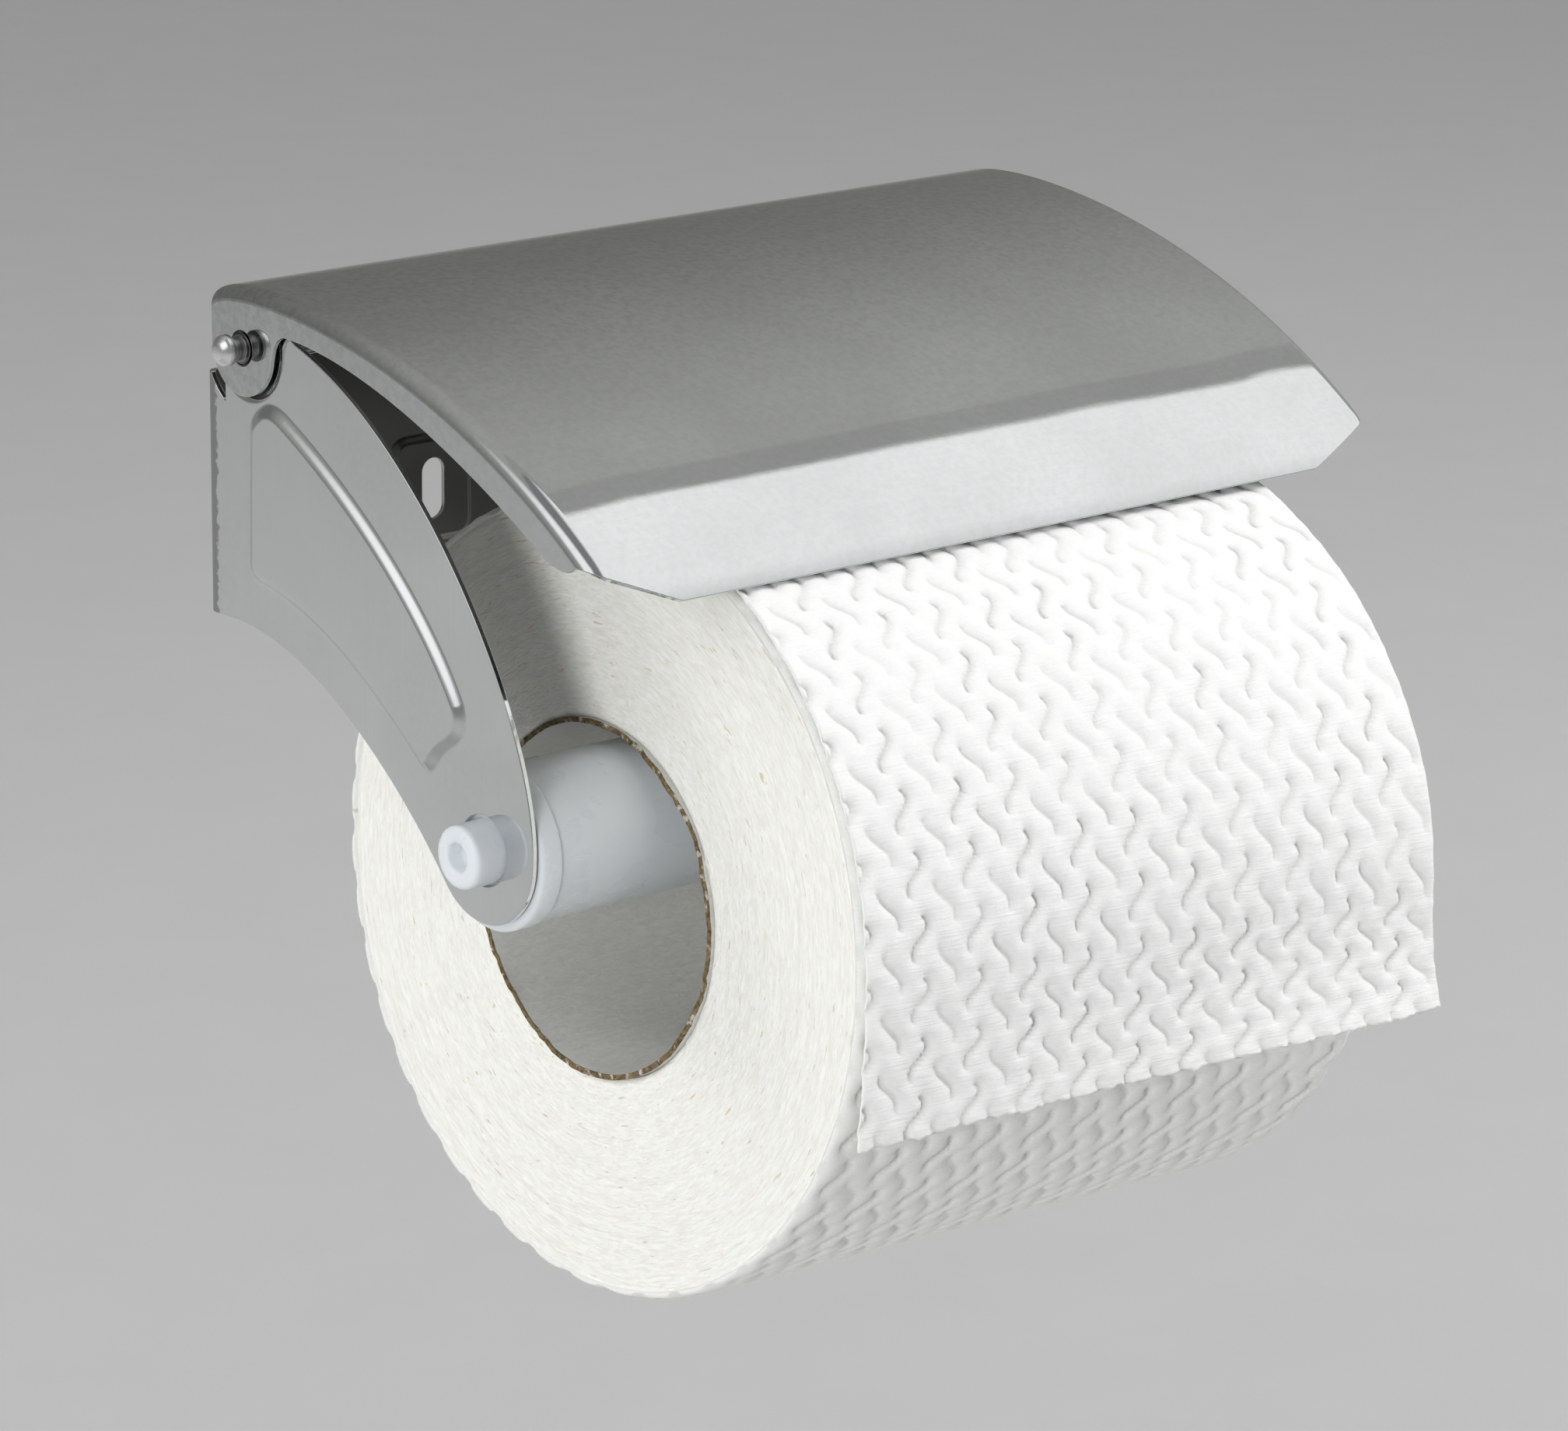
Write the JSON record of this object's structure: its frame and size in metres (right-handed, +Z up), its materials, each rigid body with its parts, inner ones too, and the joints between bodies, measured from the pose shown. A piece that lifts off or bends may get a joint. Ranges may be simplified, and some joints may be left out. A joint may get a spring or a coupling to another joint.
{
  "type": "toilet paper holder",
  "caption": "Wall-mounted toilet paper holder of pressed steel with a hinged curved cover, a sprung plastic roller and a loaded paper roll.",
  "frame": {"origin": "middle of the back plate's flat face that lies on the wall", "axes": "+X along the roller to the right as seen from the room, +Y into the wall, +Z up"},
  "size_m": [0.1538, 0.1282, 0.1399],
  "materials": {
    "polished_steel": "polished",
    "white_plastic": "satin white",
    "spring_steel": "drawn wire",
    "cardboard": "raw",
    "tissue": "soft embossed"
  },
  "bodies": {
    "bracket": {"bracket": "polished_steel", "hinge_rod": "polished_steel", "paper_tail": "tissue"},
    "cover": {"cover": "polished_steel"},
    "roll": {"paper_core": "cardboard", "paper_roll": "tissue"},
    "roller_wide": {"roller_wide_half": "white_plastic", "roller_spring": "spring_steel"},
    "roller_narrow": {"roller_narrow_half": "white_plastic"}
  },
  "joints": [
    {"name": "cover_hinge", "type": "hinge", "parent": "bracket", "child": "cover", "pos_m": [0, -0.0102, 0.0222], "axis": [-1, 0, 0], "range_deg": [0, 95]},
    {"name": "roll_spin", "type": "hinge", "parent": "bracket", "child": "roll", "pos_m": [-0.0007, -0.0599, -0.0513], "axis": [0.9994, -0.0157, -0.0323], "continuous": true},
    {"name": "roller_spin", "type": "hinge", "parent": "bracket", "child": "roller_wide", "pos_m": [0, -0.0617, -0.0382], "axis": [1, 0, 0], "continuous": true},
    {"name": "roller_squeeze", "type": "slide", "parent": "roller_wide", "child": "roller_narrow", "axis": [-1, 0, 0], "range_m": [0, 0.01], "stiffness_N_per_m": 300, "springref_m": -0.02, "deforming": ["roller_spring"]}
  ],
  "couplings": [
    {"joint": "roller_spin", "follows": "roll_spin", "ratio": 2.16}
  ]
}
